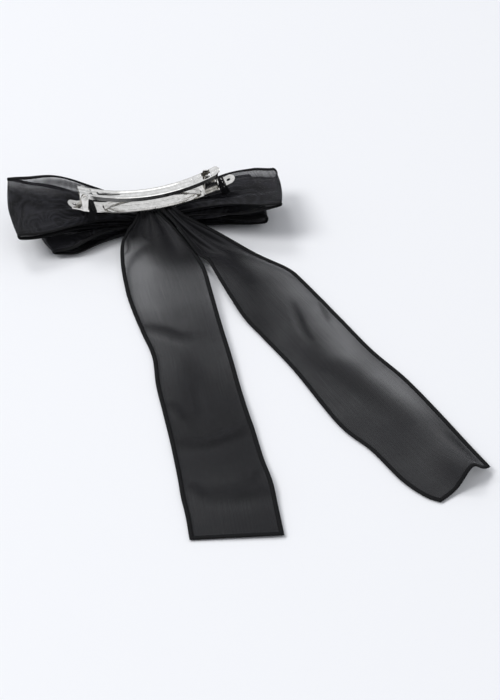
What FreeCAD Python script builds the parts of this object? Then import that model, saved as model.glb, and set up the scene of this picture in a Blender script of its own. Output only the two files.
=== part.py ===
"""Ribbon hair bow on a French barrette, lying face down with the clip upwards.

Millimetres. X runs along the barrette from its hinge (-X) to its catch (+X), the tails run
towards -Y, and Z is up. The origin is on the flat front of the knot, which rests on the table.
"""
import FreeCAD, Part
import math
import os
import re

import Sketcher

SIZES = {
    # ribbon: a thin cloth, given here with the depth that its soft body takes up
    "ribbon_width": 36.0,
    "ribbon_thick": 1.0,
    "hem_width": 1.9,
    "hem_proud": 0.1,
    # knot: the wrap round the gathered ribbons, which rests on the table
    "wrap_centre": 2.5,
    "wrap_long": 12.0,
    "wrap_wide": 18.5,
    "wrap_high": 12.4,
    "wrap_thick": 1.0,
    "wrap_corner": 3.0,
    "thread_thick": 0.5,
    "thread_pitch": 0.75,
    "thread_gap": 0.2,
    # loops: each leaves the knot at its own height, turned about Z, raised and rolled
    "loop_gap": 1.0,
    "root_width": 11.0,
    "root_half": 1.3,
    "flare_bow": 5.5,
    "tip_half": 1.9,
    "tip_bow": 1.7,
    "window_start": 12.0,
    "back_root_drop": 4.5,
    "back_belly": 3.3,
    "back_flare": 50.0,
    "front_root_play": 0.15,
    "front_belly": 2.2,
    "front_flare": 38.0,
    "back_left_length": 65.5,
    "back_left_turn": 171.5,
    "back_left_rise": 7.3,
    "back_left_roll": -8.0,
    "back_right_length": 61.5,
    "back_right_turn": -9.4,
    "back_right_rise": 9.2,
    "back_right_roll": -5.0,
    "front_left_length": 50.0,
    "front_left_turn": 171.5,
    "front_left_rise": 0.6,
    "front_left_roll": 0.0,
    "front_right_length": 52.5,
    "front_right_turn": 1.0,
    "front_right_rise": 2.6,
    "front_right_roll": 0.0,
    # tails: gathered on the wrap, they drop over its edge and lie along the table
    "tail_overlap": 4.0,
    "tail_gap": 0.2,
    "tail_flat": 6.0,
    "tail_setback": 2.0,
    "tail_fall": 46.0,
    "tail_fall_bow": 1.2,
    "tail_flare_bow": 4.0,
    "left_tail_length": 205.0,
    "left_tail_turn": -3.2,
    "left_tail_start": -3.2,
    "left_tail_root": 9.0,
    "left_tail_flare": 38.0,
    "left_tail_gather": 0.0,
    "left_tail_drift": 2.1,
    "left_tail_bow": 2.0,
    "right_tail_length": 215.0,
    "right_tail_turn": 20.8,
    "right_tail_start": 5.6,
    "right_tail_root": 6.4,
    "right_tail_flare": 42.0,
    "right_tail_gather": 2.5,
    "right_tail_drift": 10.5,
    "right_tail_bow": 1.5,
    # barrette base: a curved strip, hollow side up, sewn on at its two ends
    "plate_length": 80.0,
    "plate_width": 8.0,
    "plate_thick": 0.6,
    "plate_radius": 101.0,
    "plate_gap": 0.3,
    "rib_reach": 19.0,
    "rib_width": 0.9,
    "rib_place": 1.9,
    "rib_high": 0.3,
    "tab_length": 6.5,
    "tab_width": 6.6,
    "tab_taper": 1.5,
    "tab_round": 1.8,
    "hole_inset": 3.0,
    "hole_radius": 0.9,
    "eye_place": 22.2,
    "eye_play": 0.5,
    # hinge
    "pin_place": -32.5,
    "pin_rise": 6.8,
    "pin_radius": 0.7,
    "pin_head_proud": 0.45,
    "pin_head_thick": 0.4,
    "pin_play": 0.06,
    "ear_thick": 0.6,
    "ear_wall": 1.0,
    "ear_foot": 2.0,
    # clasp arm: a curved channel, open side down
    "arm_centre": -0.5,
    "arm_reach": 33.2,
    "arm_rise": 7.4,
    "arm_radius": 78.0,
    "arm_side_play": 0.2,
    "arm_thick": 0.5,
    "arm_drop": 1.9,
    "arm_rim": 0.35,
    "arm_rim_top": 0.6,
    "arm_rim_foot": 1.0,
    "arm_chamfer": 0.2,
    "arm_bead": 0.25,
    "arm_bead_top": 0.4,
    "arm_bead_foot": 0.8,
    "lug_wall": 1.0,
    "lug_hollow": 4.0,
    "arm_tip_round": 2.6,
    "slot_start": 8.5,
    "slot_length": 10.0,
    "slot_width": 2.4,
    "slot_narrow": 1.0,
    "window_place": 26.3,
    "window_length": 4.0,
    "window_play": 0.05,
    "window_land": 0.05,
    "crease_place": 21.0,
    "crease_width": 1.2,
    "crease_sink": 0.2,
    # tension spring between base and arm
    "spring_side_play": 0.4,
    "spring_thick": 0.35,
    "spring_reach": 23.2,
    "spring_rise": 5.75,
    "spring_bow": 2.5,
    "fork_start": 11.0,
    "fork_width": 2.0,
    "fork_end": 1.2,
    "tongue_width": 2.2,
    "tongue_thick": 0.6,
    "tongue_deep": 1.6,
    # catch: a plate riveted on the base, with two prongs that are squeezed together
    "catch_place": 27.6,
    "catch_length": 6.8,
    "catch_thick": 0.4,
    "catch_seat": 0.05,
    "rivet_radius": 0.7,
    "rivet_play": 0.25,
    "rivet_lap": 0.3,
    "rivet_foot_lap": 0.05,
    "rivet_head_high": 0.45,
    "prong_length": 2.6,
    "prong_thick": 0.4,
    "prong_chamfer": 0.5,
    "prong_foot_gap": 0.12,
    "barb_out": 0.3,
    "barb_high": 0.7,
    "barb_gap": 0.3,
    "link_high": 3.2,
    "link_step": 0.6,
    "link_rise": 0.8,
    "finger_place": 31.0,
    "finger_out": 4.9,
    "finger_radius": 2.3,
    "finger_lift": 0.25,
    # sewing
    "lash_play": 0.15,
    "lash_thick": 0.5,
    "hinge_lash_place": -29.4,
    "hinge_lash_length": 3.7,
    "hinge_lash_drop": 4.6,
    "catch_lash_place": 33.7,
    "catch_lash_length": 3.4,
    "catch_lash_drop": 3.0,
    "knot_radius": 0.7,
    "knot_play": 0.1,
}
FAR = 400.0
CUT_PAST = "0.5"      # how far a plan outline runs past the end that it mustn't trim
ALMOST_ROUND = "0.97"  # bow of an arc just short of a half circle, as a share of its radius

doc = FreeCAD.newDocument("ribbon_bow")
sheet = doc.addObject("Spreadsheet::Sheet", "sizes")
for row, (name, amount) in enumerate(SIZES.items(), 1):
    sheet.set(f"A{row}", name)
    sheet.set(f"B{row}", str(amount))
    sheet.setAlias(f"B{row}", name)
doc.recompute()

# heights that several pieces share, as expressions on the sheet
TAIL_DEPTH = "(ribbon_thick + 2 * hem_proud)"
LEFT_TAIL_AT = f"(wrap_high + tail_gap + {TAIL_DEPTH} / 2)"
RIGHT_TAIL_AT = f"(wrap_high + 2 * tail_gap + 1.5 * {TAIL_DEPTH})"
PLATE_UNDER = f"(wrap_high + 2 * tail_gap + 2 * {TAIL_DEPTH} + plate_gap)"
PLATE_AXIS = f"({PLATE_UNDER} + plate_radius)"
ARM_TOP = f"({PLATE_UNDER} + arm_rise)"
ARM_AXIS = f"({ARM_TOP} + arm_radius)"
BACK_ROOT_AT = "(wrap_high - back_root_drop)"
FRONT_ROOT_AT = "(wrap_thick + thread_gap + thread_thick + root_half + hem_proud + front_root_play)"

# widths and radii that fit inside one another: ears, arm, spring, window and prongs
ARM_EDGE = "(plate_width / 2 - ear_thick - arm_side_play)"
ARM_WALL = f"({ARM_EDGE} - arm_thick)"
WINDOW_SIDE = f"({ARM_WALL} - window_land)"
PRONG_SIDE = f"({WINDOW_SIDE} - window_play - barb_out)"
SPRING_SIDE = f"({ARM_WALL} - spring_side_play)"
EAR_RADIUS = "(pin_radius + ear_wall)"
LUG_RADIUS = "(pin_radius + lug_wall)"
EYE_RADIUS = "(tongue_width / 2 + eye_play)"
RIVET_HOLE = "(rivet_radius + rivet_play)"


def plate_height(place, above):
    """Height of the curved base at a place along X, `above` the underside of the strip."""
    return f"({PLATE_AXIS} - sqrt((plate_radius - ({above}))^2 - ({place})^2))"


def arm_height(place, above):
    """Height of the curved arm at a place along X, `above` the top of its channel floor."""
    return f"({ARM_AXIS} - sqrt((arm_radius - ({above}))^2 - ({place} - arm_centre)^2))"


PIN_AT = f"({plate_height('pin_place', 'plate_thick')} + pin_rise)"


def bound(expression):
    """The expression with each size written as a cell of the sheet."""
    return re.sub(r"[a-z_]+", lambda word: "sizes." + word[0] if word[0] in SIZES else word[0], expression)


def value(expression):
    """The expression's number in millimetres or degrees."""
    return float(sheet.evalExpression(bound(expression)))


def new_body(label):
    body = doc.addObject("PartDesign::Body", label)
    body.Label = label
    return body


def new_sketch(body, role):
    """An empty sketch on one of the body's own origin planes."""
    sketch = body.newObject("Sketcher::SketchObject", "Sketch")
    plane = [item for item in body.Origin.OriginFeatures if item.Role == role][0]
    sketch.AttachmentSupport = [(plane, "")]
    sketch.MapMode = "FlatFace"
    return sketch


def fix(sketch, kind, *where, size):
    """Add a dimension to the sketch and bind it to the sheet."""
    number = sketch.addConstraint(Sketcher.Constraint(kind, *where, value(size)))
    sketch.setExpression(f"Constraints[{number}]", bound(size))


def outline(sketch, corners):
    """Draw a closed outline, corner by corner.

    A corner is (across, up), or (across, up, bow) where the edge that leaves it is an arc that
    stands out by that much to the right of its direction.
    """
    spots = [FreeCAD.Vector(value(corner[0]), value(corner[1]), 0) for corner in corners]
    ends = []
    for number, corner in enumerate(corners):
        start = spots[number]
        end = spots[(number + 1) % len(spots)]
        following = corners[(number + 1) % len(corners)]
        if len(corner) == 2:
            edge = sketch.addGeometry(Part.LineSegment(start, end), False)
        else:
            right = FreeCAD.Vector(end.y - start.y, start.x - end.x, 0).normalize()
            middle = (start + end) * 0.5 + right * value(corner[2])
            edge = sketch.addGeometry(Part.Arc(start, middle, end), False)
            span = f"(({following[0]}) - ({corner[0]}))^2 + (({following[1]}) - ({corner[1]}))^2"
            fix(sketch, "Radius", edge, size=f"({span}) / (8 * abs({corner[2]})) + abs({corner[2]}) / 2")
        forward = sketch.getPoint(edge, 1).distanceToPoint(start) < sketch.getPoint(edge, 2).distanceToPoint(start)
        ends.append((edge, 1, 2) if forward else (edge, 2, 1))
    for number, (edge, start, _) in enumerate(ends):
        before, _, last = ends[number - 1]
        sketch.addConstraint(Sketcher.Constraint("Coincident", before, last, edge, start))
        fix(sketch, "DistanceX", -1, 1, edge, start, size=corners[number][0])
        fix(sketch, "DistanceY", -1, 1, edge, start, size=corners[number][1])


def box(sketch, left, right, bottom, top):
    outline(sketch, [(left, bottom), (right, bottom), (right, top), (left, top)])


def circle(sketch, across, up, radius):
    centre = FreeCAD.Vector(value(across), value(up), 0)
    edge = sketch.addGeometry(Part.Circle(centre, FreeCAD.Vector(0, 0, 1), value(radius)), False)
    fix(sketch, "Radius", edge, size=radius)
    fix(sketch, "DistanceX", -1, 1, edge, 3, size=across)
    fix(sketch, "DistanceY", -1, 1, edge, 3, size=up)


def through(body, kind, sketch, length):
    """A Pad or Pocket of the sketch, half of the length to each side of its plane."""
    feature = body.newObject("PartDesign::" + kind, kind)
    feature.Profile = sketch
    feature.SideType = "Symmetric"
    feature.setExpression("Length", bound(length))
    doc.recompute()
    return feature


def between(body, kind, sketch, start, end):
    """A Pad or Pocket of the sketch from one distance to another along its plane's normal."""
    feature = body.newObject("PartDesign::" + kind, kind)
    feature.Profile = sketch
    sketch.setExpression("AttachmentOffset.Base.z", bound(start))
    feature.Reversed = kind == "Pocket"
    feature.setExpression("Length", bound(f"({end}) - ({start})"))
    doc.recompute()
    return feature


def swing(body, corners, axis, angle):
    """A Revolution of a YZ outline about a line along Y at the height `axis`, equally to each side."""
    sketch = new_sketch(body, "YZ_Plane")
    for shape in corners:
        outline(sketch, shape)
    height = value(axis)
    line = Part.LineSegment(FreeCAD.Vector(-1, height, 0), FreeCAD.Vector(1, height, 0))
    edge = sketch.addGeometry(line, True)
    for point, across in ((1, "-1"), (2, "1")):
        fix(sketch, "DistanceX", -1, 1, edge, point, size=across)
        fix(sketch, "DistanceY", -1, 1, edge, point, size=axis)
    feature = body.newObject("PartDesign::Revolution", "Revolution")
    feature.Profile = sketch
    feature.ReferenceAxis = (sketch, ["Axis0"])
    feature.Midplane = True
    feature.setExpression("Angle", bound(angle))
    doc.recompute()
    return feature


def keep_inside(body, corners):
    """Cut away everything outside a plan outline."""
    sketch = new_sketch(body, "XY_Plane")
    far = str(FAR)
    box(sketch, "-" + far, far, "-" + far, far)
    outline(sketch, corners)
    through(body, "Pocket", sketch, far)


def cut_inside(body, corners):
    """Cut away everything inside a plan outline."""
    sketch = new_sketch(body, "XY_Plane")
    outline(sketch, corners)
    through(body, "Pocket", sketch, str(FAR))


def along_base(body, place):
    """Carry a body made at the middle of the curved base along the curve to its place."""
    centre = FreeCAD.Vector(0, 0, value(PLATE_AXIS))
    turn = math.degrees(math.asin(value(place) / value("plate_radius")))
    body.Placement = FreeCAD.Placement(FreeCAD.Vector(), FreeCAD.Rotation(FreeCAD.Vector(0, 1, 0), -turn), centre)


def mirrored_section(half):
    """A closed outline from the half of it that lies at +Y, given from the bottom middle upwards."""
    return half + [(f"-({across})", up) for across, up in reversed(half)]


# ---------------------------------------------------------------- barrette base

def base_plate():
    body = new_body("base_plate")
    low = plate_height("pin_place", "plate_thick / 2")
    ears = new_sketch(body, "XZ_Plane")
    foot_left = "(pin_place - ear_foot / 2)"
    foot_right = "(pin_place + ear_foot / 2)"
    outline(ears, [
        (foot_left, low), (foot_right, low),
        (f"(pin_place + {EAR_RADIUS})", PIN_AT, f"{EAR_RADIUS} * {ALMOST_ROUND}"),
        (f"(pin_place - {EAR_RADIUS})", PIN_AT)])
    through(body, "Pad", ears, "plate_width")
    slot = new_sketch(body, "XZ_Plane")
    box(slot, f"{foot_left} - 5", f"{foot_right} + 5", f"{low} - 5", f"{PIN_AT} + 5")
    through(body, "Pocket", slot, "plate_width - 2 * ear_thick")
    half = "plate_width / 2"
    strip = [(f"-{half}", PLATE_UNDER), (half, PLATE_UNDER),
             (half, f"{PLATE_UNDER} + plate_thick"), (f"-{half}", f"{PLATE_UNDER} + plate_thick")]
    swing(body, [strip], PLATE_AXIS, "2 * asin((plate_length / 2 + 1) / plate_radius)")
    ribs = []
    for side in ("-1", "1"):
        middle = f"{side} * rib_place"
        low = f"{PLATE_UNDER} + plate_thick / 2"
        high = f"{PLATE_UNDER} + plate_thick + rib_high"
        ribs.append([(f"{middle} - rib_width", low), (f"{middle} + rib_width", low),
                     (f"{middle} + rib_width / 2", high), (f"{middle} - rib_width / 2", high)])
    swing(body, ribs, PLATE_AXIS, "2 * asin(rib_reach / plate_radius)")
    end = "(plate_length / 2 - tab_round)"
    neck = "(plate_length / 2 - tab_length)"
    tab = "tab_width / 2"
    keep_inside(body, [
        (f"-{neck}", f"-{half}"), (neck, f"-{half}"), (f"{neck} + tab_taper", f"-{tab}"),
        (end, f"-{tab}", "tab_round"), (end, tab), (f"{neck} + tab_taper", tab),
        (neck, half), (f"-{neck}", half), (f"-{neck} - tab_taper", tab),
        (f"-{end}", tab, "tab_round"), (f"-{end}", f"-{tab}"), (f"-{neck} - tab_taper", f"-{tab}")])
    holes = new_sketch(body, "XY_Plane")
    for side in ("-1", "1"):
        circle(holes, f"{side} * (plate_length / 2 - hole_inset)", "0", "hole_radius")
        circle(holes, f"{side} * eye_place", "0", EYE_RADIUS)
    circle(holes, "catch_place", "0", RIVET_HOLE)
    through(body, "Pocket", holes, str(FAR))
    bore = new_sketch(body, "XZ_Plane")
    circle(bore, "pin_place", PIN_AT, "pin_radius + pin_play / 2")
    through(body, "Pocket", bore, str(FAR))
    return body


def hinge_pin():
    body = new_body("hinge_pin")
    shank = new_sketch(body, "XZ_Plane")
    circle(shank, "pin_place", PIN_AT, "pin_radius")
    through(body, "Pad", shank, "plate_width + 2 * pin_head_thick")
    for start in ("plate_width / 2", "-plate_width / 2 - pin_head_thick"):
        head = new_sketch(body, "XZ_Plane")
        circle(head, "pin_place", PIN_AT, "pin_radius + pin_head_proud")
        between(body, "Pad", head, start, f"({start}) + pin_head_thick")
    return body


def clasp_arm():
    body = new_body("clasp_arm")
    floor = ARM_TOP
    under = f"({floor} - arm_thick)"
    rim_foot = f"({ARM_WALL} - arm_rim_foot)"
    rim_top = f"({ARM_WALL} - arm_rim_top)"
    section = mirrored_section([
        ("arm_bead_top", f"{under} + arm_bead"), ("arm_bead_foot", under),
        (rim_foot, under), (rim_top, f"{under} + arm_rim"),
        (ARM_WALL, f"{under} + arm_rim"), (ARM_WALL, f"{floor} - arm_drop"),
        (ARM_EDGE, f"{floor} - arm_drop"), (ARM_EDGE, f"{floor} + arm_rim - arm_chamfer"),
        (f"{ARM_EDGE} - arm_chamfer", f"{floor} + arm_rim"), (rim_top, f"{floor} + arm_rim"),
        (rim_foot, floor), ("arm_bead_foot", floor), ("arm_bead_top", f"{floor} + arm_bead")])
    swing(body, [section], ARM_AXIS, "2 * asin((arm_reach + 1) / arm_radius)")
    local_pin = "(pin_place - arm_centre)"
    under_there = arm_height("pin_place", "-arm_thick")
    lugs = new_sketch(body, "XZ_Plane")
    outline(lugs, [
        (f"{local_pin} - {LUG_RADIUS}", under_there),
        (f"{local_pin} - {LUG_RADIUS}", PIN_AT, f"{LUG_RADIUS} * {ALMOST_ROUND}"),
        (f"{local_pin} + {LUG_RADIUS}", PIN_AT), (f"{local_pin} + {LUG_RADIUS}", under_there)])
    through(body, "Pad", lugs, f"2 * {ARM_EDGE}")
    hollow = new_sketch(body, "XZ_Plane")
    box(hollow, f"{local_pin} - lug_hollow", f"{local_pin} + lug_hollow",
        f"{PIN_AT} - lug_hollow", f"{under_there} - arm_rim_top")
    through(body, "Pocket", hollow, f"2 * {ARM_WALL}")
    ridge = new_sketch(body, "XZ_Plane")
    place = "(crease_place - arm_centre)"
    low = arm_height("crease_place", "-crease_sink")
    outline(ridge, [
        (f"{place} - crease_width", low), (f"{place} + crease_width", low),
        (f"{place} + crease_width / 2", f"{low} + crease_sink + arm_rim"),
        (f"{place} - crease_width / 2", f"{low} + crease_sink / 2 + arm_rim")])
    through(body, "Pad", ridge, f"2 * {ARM_WALL}")
    tip = "(arm_reach - arm_tip_round)"
    keep_inside(body, [
        ("-arm_reach - 1", f"-{ARM_EDGE} - 1"), (tip, f"-{ARM_EDGE} - 1"), (tip, f"-{ARM_EDGE}", "arm_tip_round"),
        (tip, ARM_EDGE), (tip, f"{ARM_EDGE} + 1"), ("-arm_reach - 1", f"{ARM_EDGE} + 1")])
    slot = new_sketch(body, "XY_Plane")
    first = "(slot_start - arm_reach)"
    last = f"({first} + slot_length)"
    outline(slot, [
        (first, "-slot_width / 2"), (last, "-slot_narrow / 2", f"slot_narrow / 2 * {ALMOST_ROUND}"),
        (last, "slot_narrow / 2"), (first, "slot_width / 2", f"slot_width / 2 * {ALMOST_ROUND}")])
    through(body, "Pocket", slot, str(FAR))
    window = new_sketch(body, "XY_Plane")
    middle = "(window_place - arm_centre)"
    box(window, f"{middle} - window_length / 2", f"{middle} + window_length / 2",
        f"-{WINDOW_SIDE}", WINDOW_SIDE)
    through(body, "Pocket", window, str(FAR))
    bore = new_sketch(body, "XZ_Plane")
    circle(bore, local_pin, PIN_AT, "pin_radius + pin_play")
    through(body, "Pocket", bore, str(FAR))
    body.Placement.Base = FreeCAD.Vector(value("arm_centre"), 0, 0)
    return body


def tension_spring():
    body = new_body("tension_spring")
    top = f"({PLATE_UNDER} + plate_thick + spring_rise)"
    radius = "((spring_reach^2 + spring_bow^2) / (2 * spring_bow))"
    axis = f"({top} - {radius})"
    strip = [(f"-{SPRING_SIDE}", f"{top} - spring_thick"), (SPRING_SIDE, f"{top} - spring_thick"),
             (SPRING_SIDE, top), (f"-{SPRING_SIDE}", top)]
    swing(body, [strip], axis, f"2 * asin(spring_reach / {radius})")
    forks = new_sketch(body, "XY_Plane")
    for side in ("-1", "1"):
        ends = [f"{side} * fork_start", f"{side} * (eye_place - fork_end)"]
        if side == "-1":
            ends.reverse()
        box(forks, ends[0], ends[1], "-fork_width / 2", "fork_width / 2")
    through(body, "Pocket", forks, str(FAR))
    tongues = new_sketch(body, "XZ_Plane")
    rim = f"({axis} + sqrt(({radius} - spring_thick / 2)^2 - eye_place^2))"
    for side in ("-1", "1"):
        middle = f"{side} * eye_place"
        box(tongues, f"{middle} - tongue_thick / 2", f"{middle} + tongue_thick / 2",
            f"{rim} - tongue_deep", rim)
    through(body, "Pad", tongues, "tongue_width")
    return body


# ---------------------------------------------------------------- catch

def catch_plate():
    body = new_body("catch_plate")
    half = "plate_width / 2"
    low = f"{PLATE_UNDER} + plate_thick + catch_seat"
    high = f"{low} + catch_thick"
    strip = [(f"-{half}", low), (half, low), (half, high), (f"-{half}", high)]
    swing(body, [strip], PLATE_AXIS, "2 * asin(catch_length / 2 / plate_radius)")
    hole = new_sketch(body, "XY_Plane")
    circle(hole, "0", "0", RIVET_HOLE)
    through(body, "Pocket", hole, str(FAR))
    along_base(body, "catch_place")
    return body


def catch_rivet():
    """A domed rivet, turned about its own upright line and then leant over with the base."""
    body = new_body("catch_rivet")
    sketch = new_sketch(body, "XZ_Plane")
    bottom = f"({PLATE_UNDER} - rivet_head_high / 2)"
    top = f"({PLATE_UNDER} + plate_thick + catch_thick + 2 * catch_seat)"
    foot = f"({RIVET_HOLE} + rivet_foot_lap)"
    head = f"({RIVET_HOLE} + rivet_lap)"
    outline(sketch, [
        ("0", bottom), (foot, bottom), (foot, f"{PLATE_UNDER} - catch_seat"),
        ("rivet_radius", f"{PLATE_UNDER} - catch_seat"), ("rivet_radius", top), (head, top),
        (f"{head} * 0.6", f"{top} + rivet_head_high"), ("0", f"{top} + rivet_head_high")])
    turned = body.newObject("PartDesign::Revolution", "Revolution")
    turned.Profile = sketch
    turned.ReferenceAxis = (sketch, ["V_Axis"])
    turned.Angle = 360
    doc.recompute()
    along_base(body, "catch_place")
    return body


def catch_prong(label, side):
    """One side of the catch: an upright barbed prong, a low link and a finger pad bent outwards."""
    body = new_body(label)
    inner = f"({PRONG_SIDE} - prong_thick)"
    start = "(window_place - prong_length / 2)"
    end = "(window_place + prong_length / 2)"
    foot = "plate_thick + catch_seat + catch_thick + prong_foot_gap"
    foot_start = plate_height(start, foot)
    foot_end = plate_height("finger_place", foot)
    rim = arm_height("window_place", "arm_rim")
    barb_low = f"({rim} + barb_gap)"
    top = f"({barb_low} + barb_high)"
    upright = new_sketch(body, "XZ_Plane")
    outline(upright, [
        (start, foot_start), ("finger_place", foot_end), ("finger_place", f"{foot_end} + link_high"),
        (f"{end} + link_step", f"{foot_end} + link_high"), (end, f"{foot_end} + link_high + link_rise"),
        (end, f"{top} - prong_chamfer"), (f"{end} - prong_chamfer", top),
        (f"{start} + prong_chamfer", top), (start, f"{top} - prong_chamfer")])
    # the sketch plane's normal is -Y, so the near prong (side -1) lies at positive distances
    near = side < 0
    between(body, "Pad", upright, *((inner, PRONG_SIDE) if near else (f"-{PRONG_SIDE}", f"-{inner}")))
    barb = new_sketch(body, "XZ_Plane")
    box(barb, f"{start} + prong_chamfer", f"{end} - prong_chamfer", barb_low, top)
    reach = f"({PRONG_SIDE} + barb_out)"
    between(body, "Pad", barb, *((inner, reach) if near else (f"-{reach}", f"-{inner}")))
    finger = new_sketch(body, "YZ_Plane")
    centre = "(finger_out - finger_radius)"
    low = f"({foot_end} + finger_lift)"
    outline(finger, [
        (f"{side} * {inner}", low), (f"{side} * {centre}", low, f"{side} * finger_radius * {ALMOST_ROUND}"),
        (f"{side} * {centre}", f"{low} + 2 * finger_radius"), (f"{side} * {inner}", f"{low} + link_high")])
    between(body, "Pad", finger, "finger_place - prong_thick", "finger_place")
    return body


# ---------------------------------------------------------------- sewing

def lashing(label, place, length, drop):
    """Sewing thread wound round the base strip and down to the ribbon under it."""
    body = new_body(label)
    ring = new_sketch(body, "YZ_Plane")
    side = "(plate_width / 2 + lash_play)"
    low = f"{PLATE_UNDER} - {drop}"
    high = f"{PLATE_UNDER} + plate_thick + lash_play"
    box(ring, f"-{side} - lash_thick", f"{side} + lash_thick", low, f"{high} + lash_thick")
    box(ring, f"-{side}", side, f"{low} + lash_thick", high)
    through(body, "Pad", ring, length)
    along_base(body, place)
    return body


def centre_stitch():
    """The knot of sewing thread at the near edge of the base."""
    knot = doc.addObject("Part::Sphere", "centre_stitch")
    knot.Label = "centre_stitch"
    knot.setExpression("Radius", bound("knot_radius"))
    height = value(f"{PLATE_UNDER} + knot_radius - plate_gap / 2")
    near = value("plate_width / 2 + knot_radius + knot_play")
    knot.Placement.Base = FreeCAD.Vector(0, -near, height)
    return knot


# ---------------------------------------------------------------- knot

def rounded_band(sketch, wide, low, high, corner):
    """A rounded rectangle about the knot's centre, in the YZ plane."""
    left = f"(wrap_centre - ({wide}) / 2)"
    right = f"(wrap_centre + ({wide}) / 2)"
    bow = f"({corner}) * (sqrt(2) - 1) / sqrt(2)"
    outline(sketch, [
        (f"{left} + {corner}", low), (f"{right} - {corner}", low, bow), (right, f"{low} + {corner}"),
        (right, f"{high} - {corner}", bow), (f"{right} - {corner}", high), (f"{left} + {corner}", high, bow),
        (left, f"{high} - {corner}"), (left, f"{low} + {corner}", bow)])


def centre_wrap():
    body = new_body("centre_wrap")
    band = new_sketch(body, "YZ_Plane")
    rounded_band(band, "wrap_wide", "0", "wrap_high", "wrap_corner")
    rounded_band(band, "wrap_wide - 2 * wrap_thick", "wrap_thick", "wrap_high - wrap_thick",
                 "(wrap_corner - wrap_thick)")
    through(body, "Pad", band, "wrap_long")
    return body


def gathering_thread():
    body = new_body("gathering_thread")
    turn = new_sketch(body, "YZ_Plane")
    outer = "(wrap_thick + thread_gap)"
    inner = f"({outer} + thread_thick)"
    rounded_band(turn, f"wrap_wide - 2 * {outer}", outer, f"wrap_high - {outer}", f"(wrap_corner - {outer})")
    rounded_band(turn, f"wrap_wide - 2 * {inner}", inner, f"wrap_high - {inner}", f"(wrap_corner - {inner})")
    first = through(body, "Pad", turn, "thread_thick")
    turn.setExpression("AttachmentOffset.Base.z", bound("-thread_pitch"))
    turns = body.newObject("PartDesign::LinearPattern", "Turns")
    turns.Originals = [first]
    turns.Direction = (turn, ["N_Axis"])
    turns.setExpression("Length", bound("2 * thread_pitch"))
    turns.Occurrences = 3
    body.Tip = turns
    doc.recompute()
    return body


# ---------------------------------------------------------------- loops

def loop_side(sketch, name, belly, proud):
    """The side of a loop: a flat teardrop band, closed at the knot and folded at its tip."""
    tip = f"({name}_length - tip_bow)"
    outer = f"(tip_half + {proud})"
    inner = f"(tip_half - ribbon_thick - {proud})"
    root = f"(root_half + {proud})"
    bow = f"({belly} + {proud} - ({root} + {outer}) / 2)"
    inner_bow = f"({belly} - ribbon_thick - {proud} - {inner} / 2)"
    outline(sketch, [
        ("loop_gap", f"-{root}", bow), (tip, f"-{outer}", f"tip_bow + {proud}"),
        (tip, outer, bow), ("loop_gap", root)])
    outline(sketch, [
        ("window_start", "0", inner_bow), (tip, f"-{inner}", f"tip_bow - ribbon_thick - {proud}"),
        (tip, inner, inner_bow)])


def loop_plan(name, flare, inset):
    """The plan of a loop, gathered at the knot and flared to the ribbon's width."""
    root = f"(root_width / 2 - {inset})"
    side = f"(ribbon_width / 2 - {inset})"
    end = f"{name}_length + 2"
    return [
        (f"loop_gap - {CUT_PAST}", f"-{root}", "-flare_bow"), (flare, f"-{side}"), (end, f"-{side}"),
        (end, side), (flare, side, "-flare_bow"), (f"loop_gap - {CUT_PAST}", root)]


def loop_place(body, name, root_height):
    """Turn and raise a loop about its root at the knot."""
    turn = FreeCAD.Rotation(value(f"{name}_turn"), -value(f"{name}_rise"), value(f"{name}_roll"))
    body.Placement = FreeCAD.Placement(
        FreeCAD.Vector(0, value("wrap_centre"), value(root_height)), turn)


def bow_loop(name, belly, root_height, flare):
    web = new_body(name + "_loop")
    side = new_sketch(web, "XZ_Plane")
    loop_side(side, name, belly, "0")
    through(web, "Pad", side, "ribbon_width")
    keep_inside(web, loop_plan(name, flare, "hem_width"))
    loop_place(web, name, root_height)
    hem = new_body(name + "_loop_hem")
    side = new_sketch(hem, "XZ_Plane")
    loop_side(side, name, belly, "hem_proud")
    through(hem, "Pad", side, "ribbon_width")
    keep_inside(hem, loop_plan(name, flare, "0"))
    cut_inside(hem, loop_plan(name, flare, "hem_width"))
    loop_place(hem, name, root_height)
    return [web, hem]


# ---------------------------------------------------------------- tails

def tail_side(sketch, name, height, proud):
    """The side of a tail: flat on the wrap, then down to the table and along it."""
    depth = f"(ribbon_thick / 2 + {proud})"
    rest = f"({TAIL_DEPTH} / 2)"
    middle = "((tail_flat + tail_fall) / 2)"
    halfway = f"(({height} + {rest}) / 2)"
    bow = "tail_fall_bow"
    outline(sketch, [
        ("-tail_overlap", f"{height} - {depth}"), ("tail_flat", f"{height} - {depth}", f"-{bow}"),
        (middle, f"{halfway} - {depth}", bow), ("tail_fall", f"{rest} - {depth}"),
        (f"{name}_length", f"{rest} - {depth}"), (f"{name}_length", f"{rest} + {depth}"),
        ("tail_fall", f"{rest} + {depth}", f"-{bow}"), (middle, f"{halfway} + {depth}", bow),
        ("tail_flat", f"{height} + {depth}"), ("-tail_overlap", f"{height} + {depth}")])


def tail_plan(name, inset, end):
    """The plan of a tail: gathered at the knot, flared, and then one long shallow curve."""
    root = f"({name}_root / 2 - {inset})"
    side = f"(ribbon_width / 2 - {name}_gather - {inset})"
    full = f"(ribbon_width / 2 - {inset})"
    flare = f"{name}_flare"
    drift = f"{name}_drift"
    bow = f"{name}_bow"
    return [
        (f"-tail_overlap - {CUT_PAST}", f"-{root}", "-tail_flare_bow"), (flare, f"{drift} - {side}", f"-{bow}"),
        (end, f"-{full}"), (end, full), (flare, f"{drift} + {side}", bow),
        (f"-tail_overlap - {CUT_PAST}", root)]


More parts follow.
